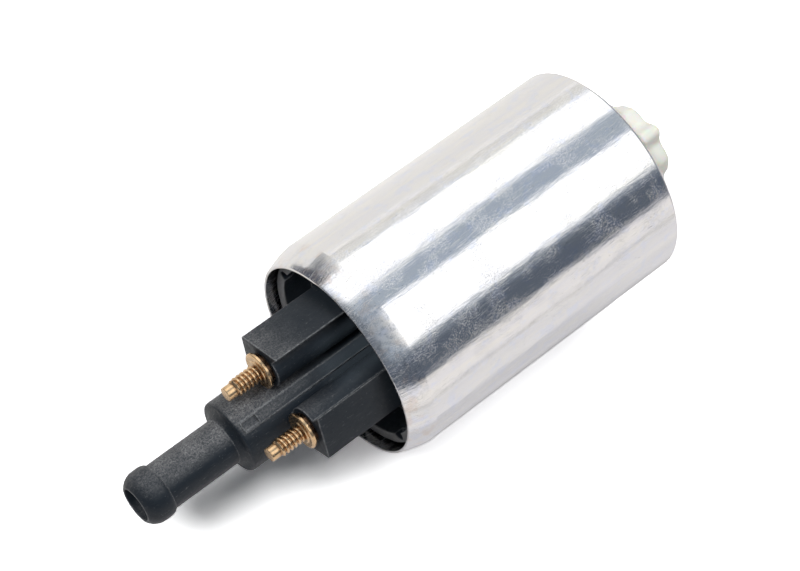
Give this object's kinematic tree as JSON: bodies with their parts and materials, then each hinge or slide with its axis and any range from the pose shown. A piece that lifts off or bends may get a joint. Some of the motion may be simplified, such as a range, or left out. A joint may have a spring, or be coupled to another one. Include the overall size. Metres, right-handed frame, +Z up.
{
  "type": "in-tank fuel pump",
  "caption": "In-tank electric fuel pump: bright tubular shell, black outlet cover with hose barb and threaded brass terminals, gerotor pump behind a nylon inlet.",
  "frame": {"origin": "middle of the tubular shell, on the pump's axis", "axes": "+X along the axis from the outlet barb to the inlet, +Z up on the side of the two terminal studs"},
  "size_m": [0.1016, 0.038, 0.038],
  "materials": {
    "shell_aluminium": "bright drawn, streaky along the axis",
    "cover_plastic": "black glass-filled nylon, dusty grain",
    "brass": "bright turned brass",
    "inlet_nylon": "natural nylon",
    "seal_rubber": "matte nitrile rubber",
    "holder_plastic": "black phenolic",
    "carbon": "pressed carbon, satin",
    "spring_steel": "drawn spring wire",
    "valve_plastic": "acetal",
    "bearing_bronze": "sintered bronze",
    "steel": "ground steel",
    "copper": "turned copper",
    "lamination": "stacked electrical steel",
    "insulation": "moulded insulating board",
    "winding_wire": "enamelled copper wire",
    "zinc_steel": "zinc-plated steel",
    "ferrite": "sintered ferrite",
    "port_plate": "moulded phenolic, lapped face"
  },
  "bodies": {
    "housing": {"shell": "shell_aluminium", "outlet_cover": "cover_plastic", "cover_seal": "seal_rubber", "inlet_seal": "seal_rubber", "terminal_stud_left": "brass", "terminal_stud_right": "brass", "terminal_strap_left": "brass", "terminal_strap_right": "brass", "brush_holder": "holder_plastic", "brush_spring_left": "spring_steel", "brush_spring_right": "spring_steel", "check_valve_spring": "spring_steel", "check_valve_seat": "brass", "upper_bearing": "bearing_bronze", "lower_bearing": "bearing_bronze", "thrust_pad": "steel", "flux_ring": "zinc_steel", "magnet_left": "ferrite", "magnet_right": "ferrite", "magnet_clip_top": "spring_steel", "magnet_clip_bottom": "spring_steel", "outlet_port_plate": "port_plate", "gerotor_ring": "steel", "inlet_body": "inlet_nylon", "relief_spring": "spring_steel", "relief_plug": "brass"},
    "armature": {"armature_shaft": "steel", "thrust_washer": "steel", "commutator_hub": "holder_plastic", "commutator_bars": "copper", "front_insulator": "insulation", "armature_core": "lamination", "rear_insulator": "insulation", "armature_windings": "winding_wire", "drive_coupling": "valve_plastic", "inner_rotor": "steel"},
    "pump_outer_rotor": {"outer_rotor": "steel"},
    "brush_left": {"brush_left": "carbon"},
    "brush_right": {"brush_right": "carbon"},
    "check_valve": {"check_valve_poppet": "valve_plastic"},
    "relief_ball": {"relief_ball": "steel"}
  },
  "joints": [
    {"name": "armature_spin", "type": "hinge", "parent": "housing", "child": "armature", "pos_m": [0, 0, 0], "axis": [1, 0, 0], "continuous": true},
    {"name": "outer_rotor_spin", "type": "hinge", "parent": "housing", "child": "pump_outer_rotor", "pos_m": [0, 0.0009, 0], "axis": [1, 0, 0], "continuous": true},
    {"name": "brush_left_slide", "type": "slide", "parent": "housing", "child": "brush_left", "axis": [-1, 0, 0], "range_m": [0, 0.0015], "stiffness_N_per_m": 150, "springref_m": -0.003, "deforming": ["brush_spring_left"]},
    {"name": "brush_right_slide", "type": "slide", "parent": "housing", "child": "brush_right", "axis": [-1, 0, 0], "range_m": [0, 0.0015], "stiffness_N_per_m": 150, "springref_m": -0.003, "deforming": ["brush_spring_right"]},
    {"name": "check_valve_slide", "type": "slide", "parent": "housing", "child": "check_valve", "axis": [-1, 0, 0], "range_m": [0, 0.002], "stiffness_N_per_m": 60, "springref_m": -0.003, "deforming": ["check_valve_spring"]},
    {"name": "relief_ball_slide", "type": "slide", "parent": "housing", "child": "relief_ball", "axis": [1, 0, 0], "range_m": [0, 0.0008], "stiffness_N_per_m": 400, "springref_m": -0.004, "deforming": ["relief_spring"]}
  ],
  "couplings": [
    {"joint": "outer_rotor_spin", "follows": "armature_spin", "ratio": 0.85714}
  ]
}
